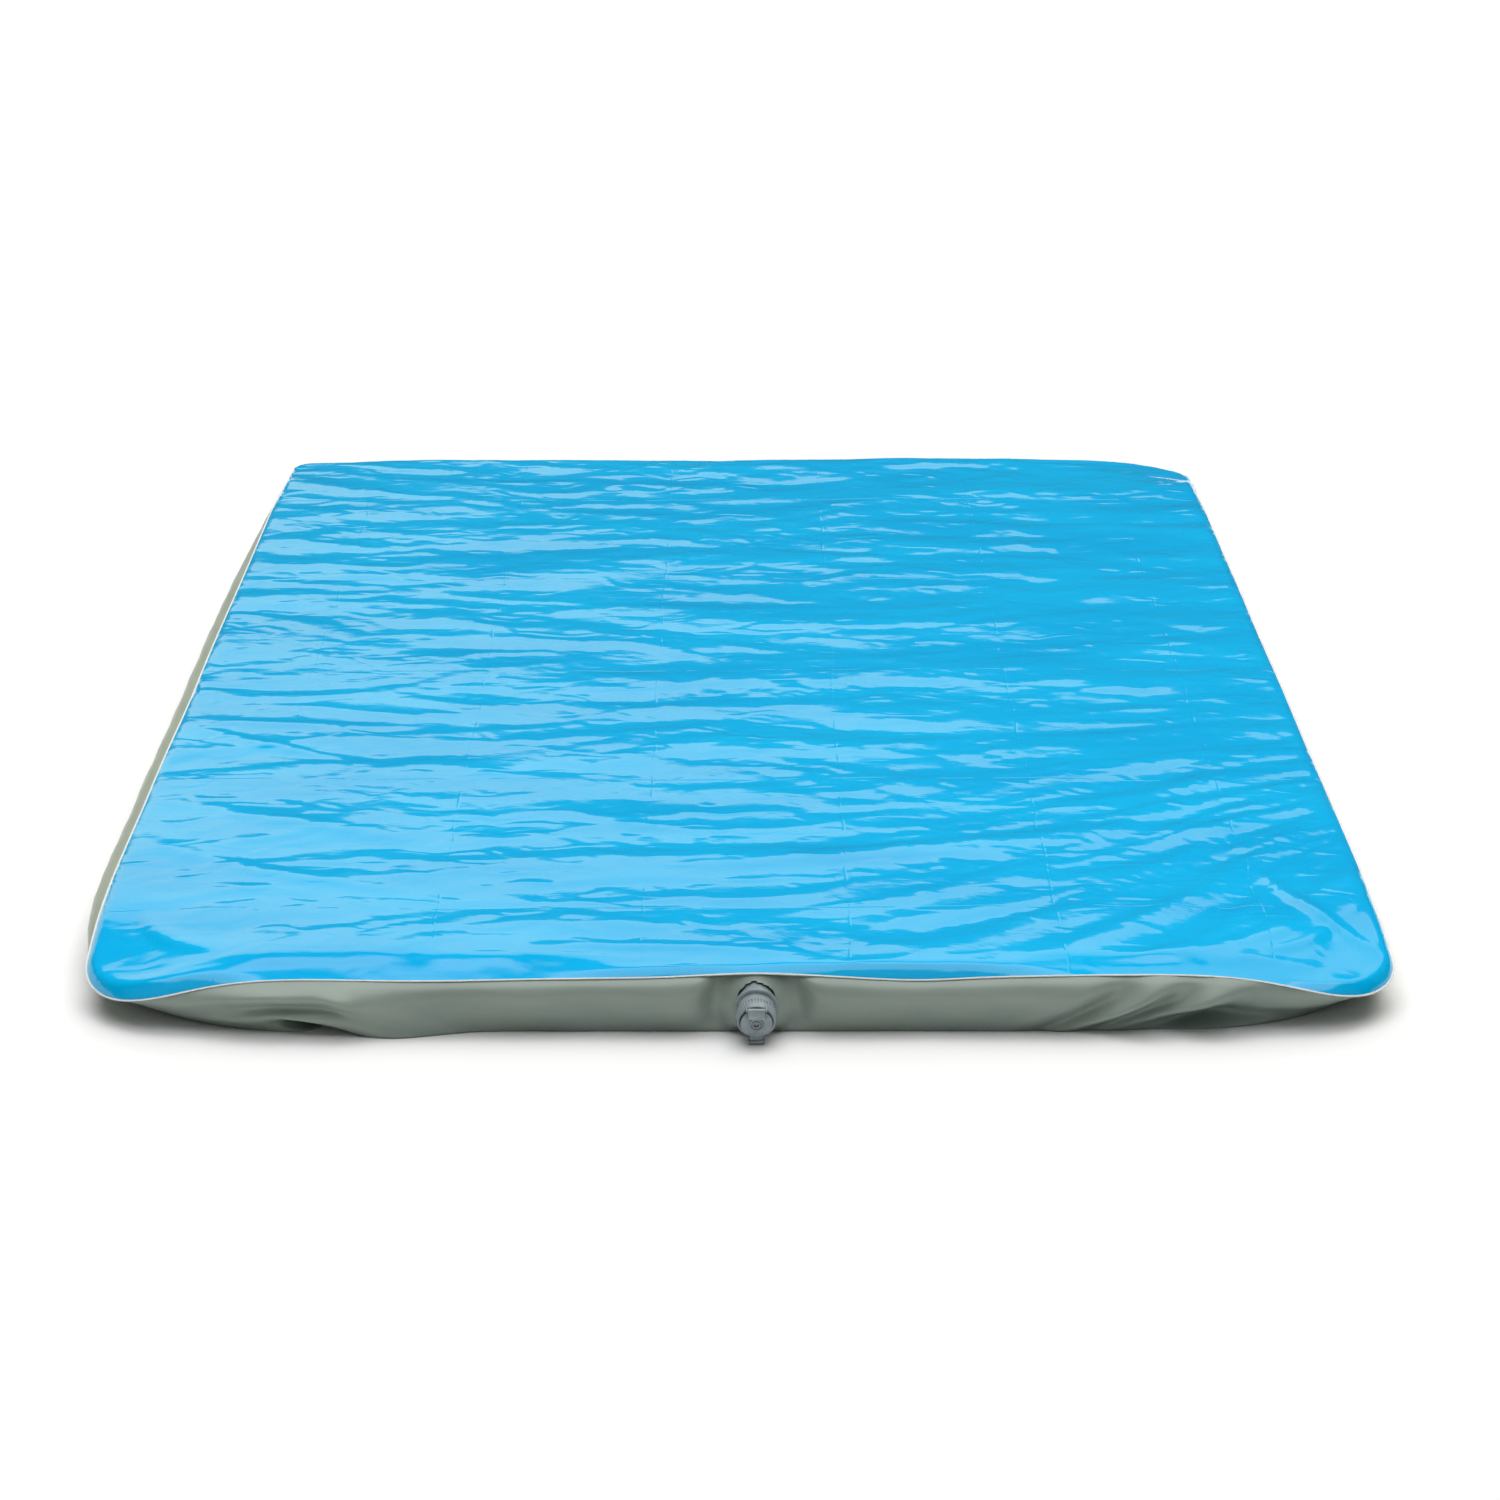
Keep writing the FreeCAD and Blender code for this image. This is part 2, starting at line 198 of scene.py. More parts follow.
# Long folds drawn across the sheet: start, bend, end, width and height in millimetres.
DRAWN_FOLDS = [
    ((270, -925), (420, -820), (590, -520), 17, 2.6),
    ((200, -880), (400, -760), (585, -380), 19, 2.2),
    ((120, -800), (350, -700), (560, -250), 17, 1.6),
    ((330, -935), (500, -890), (592, -760), 13, 2.4),
    ((-60, -700), (200, -610), (520, -560), 22, 2.0),
    ((505, -700), (520, -800), (590, -880), 7, 3.0),
    ((-590, -600), (-480, -700), (-300, -760), 15, 1.9),
    ((-595, -470), (-450, -560), (-210, -650), 17, 1.8),
    ((-590, -230), (-520, -300), (-380, -360), 11, 2.0),
    ((-592, -220), (-480, -225), (-300, -250), 12, 1.6),
    ((-200, -900), (-60, -880), (60, -925), 10, 2.0),
    ((200, 920), (380, 900), (560, 850), 20, 1.6),
]


def drawn_fold(x, y, start, bend, end, width, height):
    """A ridge along a bent line, highest in its middle."""
    points = [np.array(p) * MM for p in (start, bend, end)]
    best = np.full(x.shape, 9.0)
    along = np.zeros(x.shape)
    for t in np.linspace(0, 1, 40):
        place = (1 - t) ** 2 * points[0] + 2 * t * (1 - t) * points[1] + t * t * points[2]
        away = np.hypot(x - place[0], y - place[1])
        nearer = away < best
        best = np.where(nearer, away, best)
        along = np.where(nearer, t, along)
    taper = np.sin(np.pi * np.clip(along, 0.02, 0.98)) ** 0.6
    return height * MM * taper * np.exp(-((best / (width * MM)) ** 2))


def fold_lines(x, y):
    """A field that is constant along the wrinkles: they cross the sheet, and bend where it is dragged."""
    drag = 1.5 * np.maximum(x - 0.05, 0) ** 2 * ease(-y, 0.1, 0.75)
    drag -= 0.9 * np.maximum(-0.30 - x, 0) ** 2 * ease(-y, 0.1, 0.7)
    sag = 0.05 * np.cos(x * 2.4) * lattice_noise(x / 0.9, y / 0.6, 11)
    for gather in LEFT_GATHERS:
        pull = np.exp(-(x + HALF_WIDTH) / 0.12) * bump_at(y, gather, 0.11)
        sag += -0.55 * (y - gather) * pull
    return y - drag + sag


def creases(x, line, height, length, width, seed, added=0.0):
    """Noise turned into tilted flats that meet in sharp lines, in mm."""
    return height * np.abs(lattice_noise(x / length, line / width, seed) + added)


def wrinkle_height(x, y):
    """The film's relief, in metres."""
    line = fold_lines(x, y)
    line = (
        line
        + 0.016 * lattice_noise(x / 0.36, line / 0.13, 21)
        + 0.008 * lattice_noise(x / 0.10, line / 0.05, 22)
    )
    line = line + 0.005 * lattice_noise(x / 0.035, line / 0.028, 23)
    rumpled = ease(lattice_noise(x / 0.32, y / 0.16, 33), -0.30, 0.25)
    small = creases(x, line, *SMALL_CREASE) * rumpled
    small += creases(x, line, *FOOT_CREASE) * ease(-y, 0.2, 0.8)
    slanted = np.zeros_like(x)
    for turned, seed in SLANTS:
        along = x * math.cos(turned) + line * math.sin(turned)
        over = line * math.cos(turned) - x * math.sin(turned)
        present = ease(lattice_noise(x / 0.20, y / 0.16, seed + 10), -0.05, 0.30)
        slanted += creases(along, over, *SLANTED_CREASE, seed) * present
    height = creases(x, line, *BROAD_CREASE) + creases(x, line, *LONG_CREASE)
    height = height + creases(x, line, *SHORT_CREASE) * rumpled + small + slanted
    edge = ease(inset_from_seam(x, y) - 0.014 * foot_ramp(x, y), 0.0, 0.012)
    height = height * edge * MM
    for fold in DRAWN_FOLDS:
        height = height + drawn_fold(x, y, *fold) * edge
    return height


def foot_ramp(x, y):
    """1 along the two stretches of the foot edge where the film runs down to the seam in one even slope."""
    left = ease(x, -0.50, -0.42) * (1 - ease(x, -0.20, -0.03))
    right = ease(x, 0.20, 0.33) * (1 - ease(x, 0.47, 0.56))
    return (left + right) * ease(-y, HALF_LENGTH - 0.06, HALF_LENGTH - 0.03)


def sheet_height(x, y):
    """The film's height above the floor: up from the seam, over the core's edge, and across its top."""
    inset = inset_from_seam(x, y)
    reach = SHOULDER_MM * (1 + 0.5 * lattice_noise(x / 0.11, y / 0.11, 41))
    ramp = foot_ramp(x, y)
    slope = np.clip(1 - inset / RAMP_LENGTH, 0, 1)
    shoulder = np.exp(-inset / (reach * MM)) * (1 - ramp) + slope * ramp
    low = seam_height(x, y)
    level = CROWN_Z + 0.5 * MM
    droop = corner_droop(x, y) * ease(0.15 - inset, 0, 0.15) ** 0.8
    height = level - (level - low) * shoulder - droop * (1 - shoulder) * 0.88
    height = height + wrinkle_height(x, y)
    over_core = ease(core_cover(x, y), *CORE_MARGIN)
    return np.maximum(height, over_core * (CORE_TOP + CORE_CLEAR))


def core_cover(x, y):
    """Positive over the foam core, in metres inside its outline."""
    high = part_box("foam_base_slab")[1]
    a = np.abs(x) - (high.x - CORE_RADIUS)
    b = np.abs(y) - (high.y - CORE_RADIUS)
    outside = np.hypot(np.maximum(a, 0), np.maximum(b, 0)) + np.minimum(np.maximum(a, b), 0)
    return CORE_RADIUS - outside


# ---- Mesh making ----


def add_piece(name, points, faces, material, body="bladder"):
    """A smooth mesh object that rides on a body."""
    mesh = bpy.data.meshes.new(name)
    mesh.from_pydata(np.asarray(points, float).tolist(), [], [list(map(int, face)) for face in faces])
    mesh.polygons.foreach_set("use_smooth", [True] * len(mesh.polygons))
    mesh.update()
    piece = bpy.data.objects.new(name, mesh)
    bpy.context.scene.collection.objects.link(piece)
    mesh.materials.append(material)
    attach(piece, body)
    return piece


def grid_faces(rows, columns, closed=False):
    """Quads between the points of a grid stored row by row."""
    spans = columns if closed else columns - 1
    row, column = np.meshgrid(np.arange(rows - 1), np.arange(spans), indexing="ij")
    here = row * columns + column
    beside = row * columns + (column + 1) % columns
    return np.stack([here, beside, beside + columns, here + columns], axis=-1).reshape(-1, 4)


def rectangle_grid():
    """The plain rectangle that the sheet's grid starts from."""
    across = int(2 * HALF_WIDTH / GRID_STEP) + 1
    along = int(2 * HALF_LENGTH / GRID_STEP) + 1
    columns = np.linspace(-HALF_WIDTH, HALF_WIDTH, across)
    rows = np.linspace(-HALF_LENGTH, HALF_LENGTH, along)
    return np.meshgrid(columns, rows)


def seam_ring():
    """The seam's outline as a closed ring of plain points, and the direction out of it at each."""
    x, y = rectangle_grid()
    ring_x = np.concatenate([x[0, :-1], x[:-1, -1], x[-1, :0:-1], x[:0:-1, 0]])
    ring_y = np.concatenate([y[0, :-1], y[:-1, -1], y[-1, :0:-1], y[:0:-1, 0]])
    px, py = round_corners(ring_x, ring_y)
    ahead = np.stack([np.roll(px, -1) - np.roll(px, 1), np.roll(py, -1) - np.roll(py, 1)], axis=1)
    out = np.stack([ahead[:, 1], -ahead[:, 0]], axis=1)
    out /= np.linalg.norm(out, axis=1, keepdims=True)
    return px, py, out


def floor_ring(px, py, out):
    """Where each point of the seam's ring comes down to the floor."""
    straight_x = HALF_WIDTH - FLOOR_INSET - FLOOR_RADIUS
    straight_y = HALF_LENGTH - FLOOR_INSET - FLOOR_RADIUS
    fx, fy = np.empty_like(px), np.empty_like(py)
    for (side, end), radius in SEAM_RADIUS.items():
        here = (px * side >= 0) & (py * end >= 0)
        along_x = np.clip(px * side / (HALF_WIDTH - radius), 0, 1) * straight_x
        along_y = np.clip(py * end / (HALF_LENGTH - radius), 0, 1) * straight_y
        fx = np.where(here, side * along_x + out[:, 0] * FLOOR_RADIUS, fx)
        fy = np.where(here, end * along_y + out[:, 1] * FLOOR_RADIUS, fy)
    flat_x, flat_y = np.abs(out[:, 1]) > 0.9999, np.abs(out[:, 0]) > 0.9999
    fy = np.where(flat_x, np.sign(py) * (HALF_LENGTH - FLOOR_INSET), fy)
    fx = np.where(flat_y, np.sign(px) * (HALF_WIDTH - FLOOR_INSET), fx)
    return fx, fy


# Folds of the foot wall: place along X, how far down (0 seam, 1 floor), reach along X, reach down,
# and how far out in mm. The numbers along X are those at the seam; low on the wall a fold lies further in.
WALL_FOLDS = [
    (-0.440, 0.20, 0.070, 0.13, 9.0),
    (-0.435, 0.46, 0.055, 0.10, -8.0),
    (-0.372, 0.34, 0.016, 0.20, 8.0),
    (-0.480, 0.66, 0.045, 0.14, 9.0),
    (-0.478, 0.88, 0.022, 0.18, -34.0),
    (-0.345, 0.50, 0.022, 0.40, 4.0),
    (-0.255, 0.55, 0.040, 0.40, -3.0),
    (-0.140, 0.50, 0.035, 0.40, -2.6),
    (0.180, 0.50, 0.030, 0.40, -2.6),
    (0.315, 0.50, 0.020, 0.40, 3.4),
    (0.348, 0.45, 0.020, 0.40, -9.0),
    (0.378, 0.50, 0.016, 0.40, 10.0),
    (0.410, 0.55, 0.018, 0.34, -11.0),
    (0.442, 0.38, 0.024, 0.30, 12.0),
    (0.500, 0.70, 0.045, 0.24, -26.0),
]
# Where the foot wall's lower edge is pushed out beside the left fold.
SPLAY_X, SPLAY_REACH, SPLAY_DEPTH = -0.405, 0.062, 17 * MM
# Round the valve: the wall is a leaning flat as far as the ring, and a trough lies outside it.
VALVE_RING = 27 * MM
VALVE_BLEND = 26 * MM
VALVE_TROUGH, TROUGH_WIDTH, TROUGH_DEPTH = 37 * MM, 12 * MM, 13.0 * MM
VALVE_HOLE = 19 * MM
# The wall's rows crowd a little towards the floor, and rings of these shares close the underside.
ROW_POWER = 0.9
FLOOR_RINGS = [0.97, 0.9, 0.75, 0.5, 0.25]
# A strip's top slopes up inwards by this share of its reach, low enough to stay under the film.
STRIP_SLOPE = 0.08


def corner_share(px, py):
    """1 at the four corners of the seam, falling to 0 along its sides."""
    away = np.hypot(HALF_WIDTH - np.abs(px), HALF_LENGTH - np.abs(py))
    return bump_at(away, 0, TUCK_REACH)


def wall_points(px, py, out, fx, fy, t):
    """Points of the side wall at a share t of the way down from the seam, for every ring point."""
    seam_x, seam_y = px + side_shift(px, py), py
    height = seam_height(px, py)
    z = height * (1 - t)
    tucked = corner_share(px, py)
    side = ease(np.abs(px), 0.5, 0.6) * ease(HALF_LENGTH - np.abs(py), 0.0, 0.1)
    left = 0.4 - 0.9 * ease(py, 0.30, 0.85)
    plump = np.where(px > 0, 1 - 0.75 * side, 1 + left * side) * (1 - np.minimum(1.25 * tucked, 1))
    swell = BULGE * plump * np.sin(np.pi * t**0.60) ** 1.05
    foot = ease(-py, HALF_LENGTH - 0.14, HALF_LENGTH - 0.02)
    relief = np.zeros_like(px)
    for centre, depth_at, reach, spread, depth in WALL_FOLDS:
        relief += depth * bump_at(px, centre, reach) * bump_at(t, depth_at, spread)
    run, down = px + py, np.full_like(px, t)
    loose = 1.1 * lattice_noise(run / 0.12, down * 2.2, 51)
    loose += 2.0 * lattice_noise(run / 0.05, down * 1.4, 52) * (1 - foot)
    relief = (relief * foot + loose * math.sin(math.pi * t)) * MM
    fy = fy - SPLAY_DEPTH * bump_at(px, SPLAY_X, SPLAY_REACH) * foot
    share = t ** (1.7 - 0.9 * tucked)
    x = seam_x * (1 - share) + fx * share + out[:, 0] * (swell + relief)
    y = seam_y * (1 - share) + fy * share + out[:, 1] * (swell + relief)
    return fit_valve(x, y, z)


def fit_valve(x, y, z):
    """Draws the foot wall to a flat at the valve's seat, with a shallow trough round it.

    Known fault: the flat leans the other way from the collar, so the wall stands behind the collar's top and in
    front of its bottom. The plane square to the valve would have the opposite sign of the away_z term.
    """
    away_x = x - VALVE_SEAT.x
    away_z = z - VALVE_SEAT.z
    reach = np.hypot(away_x, away_z)
    near = (y < -HALF_LENGTH + 0.06) & (np.abs(away_x) < 0.09)
    plane = VALVE_SEAT.y + 0.5 * MM + away_z * VALVE_OUT.z / VALVE_OUT.y
    clear = ease(z, 0.5 * MM, 12 * MM)
    hold = (1 - ease(reach, VALVE_RING, VALVE_RING + VALVE_BLEND)) * clear
    trough = TROUGH_DEPTH * bump_at(reach, VALVE_TROUGH, TROUGH_WIDTH) * clear
    fitted = y * (1 - hold) + plane * hold + trough
    return x, np.where(near, fitted, y), z


def open_for_valve(points, faces):
    """Leaves out the faces behind the valve's neck, and draws their rim out to the hole's radius."""
    away = points - np.array(VALVE_SEAT)
    along = away @ np.array(VALVE_OUT)
    across = away - np.outer(along, VALVE_OUT)
    reach = np.linalg.norm(across, axis=1)
    inside = (reach < VALVE_HOLE) & (np.abs(along) < VALVE_RING)
    kept = [face for face in faces if not inside[face].all()]
    used = np.zeros(len(points), bool)
    used[[corner for face in kept for corner in face]] = True
    rim = inside & used
    points[rim] += across[rim] * (VALVE_HOLE / reach[rim] - 1)[:, None]
    number = np.cumsum(used) - 1
    return points[used], [number[face].tolist() for face in kept]


def make_tray(material):
    """The grey tray: its walls in rows from the seam to the floor, and its flat underside."""
    px, py, out = seam_ring()
    fx, fy = floor_ring(px, py, out)
    count = len(px)
    points = []
    for row in range(WALL_ROWS):
        t = (row / (WALL_ROWS - 1)) ** ROW_POWER
        x, y, z = wall_points(px, py, out, fx, fy, t)
        points.append(np.stack([x, y, np.maximum(z, 0)], axis=1))
    last = points[-1]
    for share in FLOOR_RINGS:
        points.append(last * [share, share, 1])
    total = WALL_ROWS + len(FLOOR_RINGS)
    faces = grid_faces(total, count, closed=True)[:, ::-1].tolist()
    faces.append([(total - 1) * count + k for k in range(count)][::-1])
    points, faces = open_for_valve(np.concatenate(points), faces)
    return add_piece("vinyl_tray", points, faces, material)


def make_film(material):
    """The blue film, from seam to seam."""
    plain_x, plain_y = rectangle_grid()
    x, y = round_corners(plain_x, plain_y)
    z = sheet_height(x, y)
    points = np.stack([x + side_shift(x, y), y, z + FILM_LIFT], axis=-1).reshape(-1, 3)
    return add_piece("film_sheet", points, grid_faces(*plain_x.shape), material)


def make_strip(name, material, reach_out, reach_in, low, high):
    """A flat strip that follows the seam all the way round."""
    px, py, out = seam_ring()
    height = seam_height(px, py)
    inner_high = high + STRIP_SLOPE * reach_in
    section = [(reach_out, low), (reach_out, high), (-reach_in, inner_high), (-reach_in, low)]
    points = []
    for reach, rise in section:
        x = px + out[:, 0] * reach + side_shift(px, py)
        y = py + out[:, 1] * reach
        points.append(np.stack([x, y, height + rise], axis=1))
    count = len(px)
    last = (len(section) - 1) * count
    faces = grid_faces(len(section), count, closed=True).tolist()
    for k in range(count):
        beside = (k + 1) % count
        faces.append([last + k, last + beside, beside, k])
    return add_piece(name, np.concatenate(points), faces, material)


# ---- Materials ----


def linear(hex_colour):
    """An sRGB hex colour as linear red, green, blue and full alpha."""
    levels = [int(hex_colour[k:k + 2], 16) / 255 for k in (0, 2, 4)]
    return [v / 12.92 if v <= 0.04045 else ((v + 0.055) / 1.055) ** 2.4 for v in levels] + [1.0]


MATH, VECTOR, RANGE = "ShaderNodeMath", "ShaderNodeVectorMath", "ShaderNodeMapRange"
NOISE, CELLS = "ShaderNodeTexNoise", "ShaderNodeTexVoronoi"
RAMP, BUMP = "ShaderNodeValToRGB", "ShaderNodeBump"
PLUS, TIMES, LARGER = {"operation": "ADD"}, {"operation": "MULTIPLY"}, {"operation": "MAXIMUM"}
SOFT = {"interpolation_type": "SMOOTHSTEP"}


def add(tree, kind, settings=None, **inputs):
    """Adds a node with its settings and links.

    Settings are the node's own properties. An input is named by its socket, or by i and its number. It takes a
    value, a socket, or a node, which stands for its first output. In a Map Range node i1 and i2 are the ends of
    the range it reads, and i3 and i4 the ends of the one it gives.
    """
    made = tree.nodes.new(kind)
    for key, value in (settings or {}).items():
        setattr(made, key, value)
    for key, value in inputs.items():
        numbered = key[0] == "i" and key[1:].isdigit()
        socket = made.inputs[int(key[1:]) if numbered else key.replace("_", " ")]
        if isinstance(value, bpy.types.Node):
            value = value.outputs[0]
        if isinstance(value, bpy.types.NodeSocket):
            tree.links.new(value, socket)
        else:
            socket.default_value = value
    return made


def per_mm(x, y, z):
    """Multiplies metres so that one unit of a pattern is so many millimetres along each axis."""
    return (1000 / x, 1000 / y, 1000 / z)


def new_material(name):
    """An empty material with its Principled shader and its object coordinates."""
    material = bpy.data.materials.new(name)
    material.use_nodes = True
    tree = material.node_tree
    shader = tree.nodes["Principled BSDF"]
    place = tree.nodes.new("ShaderNodeTexCoord").outputs["Object"]
    return material, tree, shader, place


def film_material():
    """Stretch polyurethane film: a clear wet gloss over an even blue, broken by creases across the sheet.

    The crumple (46 by 30 mm) and the crackle (17 by 12 mm) are drawn sizes, coarser than the finest
    creases of real film.
    """
    material, tree, shader, place = new_material("cast_blue_polyurethane_film")
    patches = add(tree, VECTOR, TIMES, i0=place, i1=per_mm(260, 90, 90))
    colour = add(tree, RAMP, Fac=add(tree, NOISE, Vector=patches, Scale=1.0, Detail=2.0))
    ends = colour.color_ramp.elements
    ends[0].position, ends[1].position = 0.35, 0.7
    ends[0].color, ends[1].color = linear("00ABE6"), linear("04B5EE")
    tree.links.new(colour.outputs[0], shader.inputs["Base Color"])
    wide = add(tree, VECTOR, TIMES, i0=place, i1=per_mm(46, 30, 30))
    ridged = {"noise_type": "RIDGED_MULTIFRACTAL", "normalize": True}
    crumple = add(tree, NOISE, ridged, Vector=wide, Scale=1.0, Detail=2.0, Roughness=0.5, Distortion=0.7)
    close = add(tree, VECTOR, TIMES, i0=place, i1=per_mm(17, 12, 12))
    crackle = add(tree, NOISE, Vector=close, Scale=1.0, Detail=2.0, Distortion=0.8)
    regions = add(tree, VECTOR, TIMES, i0=place, i1=per_mm(170, 80, 80))
    slack = add(tree, NOISE, Vector=regions, Scale=1.0, Detail=2.0)
    loose = add(tree, RANGE, Value=slack, i1=0.42, i2=0.60, i3=0.65, i4=1.0)
    crumpled = add(tree, MATH, TIMES, i0=crumple, i1=loose)
    crackled = add(tree, MATH, TIMES, i0=crackle, i1=0.12)
    relief = add(tree, MATH, PLUS, i0=crumpled, i1=crackled)
    relief = add(tree, MATH, PLUS, i0=relief, i1=fold_marks(tree, place))
    bump = add(tree, BUMP, Strength=0.9, Distance=1.35 * MM, Height=relief)
    tree.links.new(bump.outputs[0], shader.inputs["Normal"])
    gloss = add(tree, RANGE, Value=crackle, i1=0.3, i2=0.7, i3=0.05, i4=0.12)
    tree.links.new(gloss.outputs[0], shader.inputs["Roughness"])
    shader.inputs["IOR"].default_value = 1.5
    return material


# Packing marks: the axis they are spaced along, their pitch and the start, in metres. The spacing is a guess.
FOLD_MARKS = (("X", 0.192, 0.10), ("Y", 0.38, 0.12))
MARK_WIDTH = 1.6 * MM
# Metres added so that the modulo only gets positive numbers.
KEPT_POSITIVE = 2


def fold_marks(tree, place):
    """Straight marks left where the sheet was folded for packing, broken here and there."""
    parts = add(tree, "ShaderNodeSeparateXYZ", Vector=place)
    stretches = add(tree, VECTOR, TIMES, i0=place, i1=per_mm(60, 60, 60))
    gaps = add(tree, NOISE, Vector=stretches, Scale=1.0, Detail=2.0)
    broken = add(tree, MATH, {"operation": "GREATER_THAN"}, i0=gaps, i1=0.47)
    total = None
    for axis, pitch, start in FOLD_MARKS:
        bends = add(tree, VECTOR, TIMES, i0=place, i1=per_mm(90, 90, 90))
        wobble = add(tree, MATH, TIMES, i0=add(tree, NOISE, Vector=bends, Scale=1.0, Detail=1.0), i1=0.012)
        moved = add(tree, MATH, PLUS, i0=parts.outputs[axis], i1=wobble)
        moved = add(tree, MATH, PLUS, i0=moved, i1=KEPT_POSITIVE + start)
        within = add(tree, MATH, {"operation": "MODULO"}, i0=moved, i1=pitch)
        away = add(tree, MATH, {"operation": "SUBTRACT"}, i0=within, i1=pitch / 2)
        away = add(tree, MATH, {"operation": "ABSOLUTE"}, i0=away)
        mark = add(tree, RANGE, Value=away, i1=0.0, i2=MARK_WIDTH, i3=-0.12, i4=0.0)
        total = mark if total is None else add(tree, MATH, PLUS, i0=total, i1=mark)
    return add(tree, MATH, TIMES, i0=total, i1=broken)


def knit_material():
    """Warp-knitted polyester backing: matt white with small loops, about 1 mm apart."""
    material, tree, shader, place = new_material("white_warp_knit")
    fine = add(tree, VECTOR, TIMES, i0=place, i1=per_mm(1.0, 1.0, 1.0))
    loops = add(tree, CELLS, Vector=fine, Scale=1.0)
    tone = add(tree, RAMP, Fac=loops)
    ends = tone.color_ramp.elements
    ends[0].color, ends[1].color = linear("FFFFFF"), linear("DDE6E8")
    tree.links.new(tone.outputs[0], shader.inputs["Base Color"])
    bump = add(tree, BUMP, Strength=0.4, Distance=0.2 * MM, Height=loops)
    tree.links.new(bump.outputs[0], shader.inputs["Normal"])
    shader.inputs["Roughness"].default_value = 0.9
    shader.inputs["Sheen Weight"].default_value = 0.3
    return material


def vinyl_material():
    """Calendered grey-green vinyl: satin, with a faint grain, soft handling marks, and painted shade: pockets
    darker, open faces a little lighter.
    """
    material, tree, shader, place = new_material("calendered_sage_vinyl")
    clouds = add(tree, VECTOR, TIMES, i0=place, i1=per_mm(120, 120, 60))
    cloud = add(tree, NOISE, Vector=clouds, Scale=1.0, Detail=3.0)
    tone = add(tree, RAMP, Fac=cloud)
    ends = tone.color_ramp.elements
    ends[0].position, ends[1].position = 0.3, 0.72
    ends[0].color, ends[1].color = linear("7B8982"), linear("8A978E")
    # Painted shade: ambient occlusion darkens the base colour in pockets and folds, and lightens open faces by up
    # to a tenth.
    painted_pocket_shade = add(tree, "ShaderNodeAmbientOcclusion", {"samples": 8}, Color=tone, Distance=22 * MM)
    shade = add(tree, RANGE, Value=painted_pocket_shade.outputs["AO"], i1=0.2, i2=0.85, i3=0.80, i4=1.10)
    shaded = add(tree, VECTOR, {"operation": "SCALE"}, i0=tone, Scale=shade)
    tree.links.new(shaded.outputs[0], shader.inputs["Base Color"])
    fine = add(tree, VECTOR, TIMES, i0=place, i1=per_mm(1.4, 1.4, 1.4))
    grain = add(tree, MATH, TIMES, i0=add(tree, NOISE, Vector=fine, Scale=1.0, Detail=2.0), i1=0.05)
    broad = add(tree, VECTOR, TIMES, i0=place, i1=per_mm(30, 30, 14))
    relief = add(tree, MATH, PLUS, i0=grain, i1=add(tree, NOISE, Vector=broad, Scale=1.0, Detail=3.0))
    bump = add(tree, BUMP, Strength=0.35, Distance=1.0 * MM, Height=relief)
    tree.links.new(bump.outputs[0], shader.inputs["Normal"])
    gloss = add(tree, RANGE, Value=cloud, i1=0.3, i2=0.7, i3=0.30, i4=0.40)
    tree.links.new(gloss.outputs[0], shader.inputs["Roughness"])
    shader.inputs["IOR"].default_value = 1.53
    return material


def soft_moulding_material():
    """Soft moulded PVC, smoke grey and half clear: painted shade darkens the hollows and lightens open faces a
    little, and edges are shaded as if rounded by 0.7 mm.
    """
    material, tree, shader, place = new_material("half_clear_smoke_moulding")
    clouds = add(tree, VECTOR, TIMES, i0=place, i1=per_mm(9, 9, 9))
    tone = add(tree, RAMP, Fac=add(tree, NOISE, Vector=clouds, Scale=1.0, Detail=3.0))
    ends = tone.color_ramp.elements
    ends[0].color, ends[1].color = linear("7E8E95"), linear("A9B7BC")
    # Painted shade: ambient occlusion darkens the base colour in hollows and recess lines, and lightens open faces
    # slightly.
    painted_hollow_shade = add(tree, "ShaderNodeAmbientOcclusion", {"samples": 8}, Color=tone, Distance=5 * MM)
    shade = add(tree, RANGE, Value=painted_hollow_shade.outputs["AO"], i1=0.25, i2=0.95, i3=0.30, i4=1.12)
    shaded = add(tree, VECTOR, {"operation": "SCALE"}, i0=tone, Scale=shade)
    tree.links.new(shaded.outputs[0], shader.inputs["Base Color"])
    fine = add(tree, VECTOR, TIMES, i0=place, i1=per_mm(1.2, 1.2, 1.2))
    texture = add(tree, NOISE, Vector=fine, Scale=1.0, Detail=2.0)
    edges = add(tree, "ShaderNodeBevel", {"samples": 6}, Radius=0.7 * MM)
    bump = add(tree, BUMP, Strength=0.2, Distance=0.1 * MM, Height=texture, Normal=edges)
    tree.links.new(bump.outputs[0], shader.inputs["Normal"])
    gloss = add(tree, RANGE, Value=texture, i1=0.3, i2=0.7, i3=0.08, i4=0.17)
    tree.links.new(gloss.outputs[0], shader.inputs["Roughness"])
    shader.inputs["IOR"].default_value = 1.53
    shader.inputs["Transmission Weight"].default_value = 0.25
    return material


def seal_material():
    """Moulded seal rubber: near black, dull, with a fine bloom."""
    material, tree, shader, place = new_material("moulded_seal_rubber")
    fine = add(tree, VECTOR, TIMES, i0=place, i1=per_mm(2, 2, 2))
    bloom = add(tree, NOISE, Vector=fine, Scale=1.0, Detail=3.0)
    tone = add(tree, RAMP, Fac=bloom)
    ends = tone.color_ramp.elements
    ends[0].color, ends[1].color = linear("2C2F31"), linear("44484A")
    tree.links.new(tone.outputs[0], shader.inputs["Base Color"])
    bump = add(tree, BUMP, Strength=0.2, Distance=0.05 * MM, Height=bloom)
    tree.links.new(bump.outputs[0], shader.inputs["Normal"])
    shader.inputs["Roughness"].default_value = 0.6
    return material


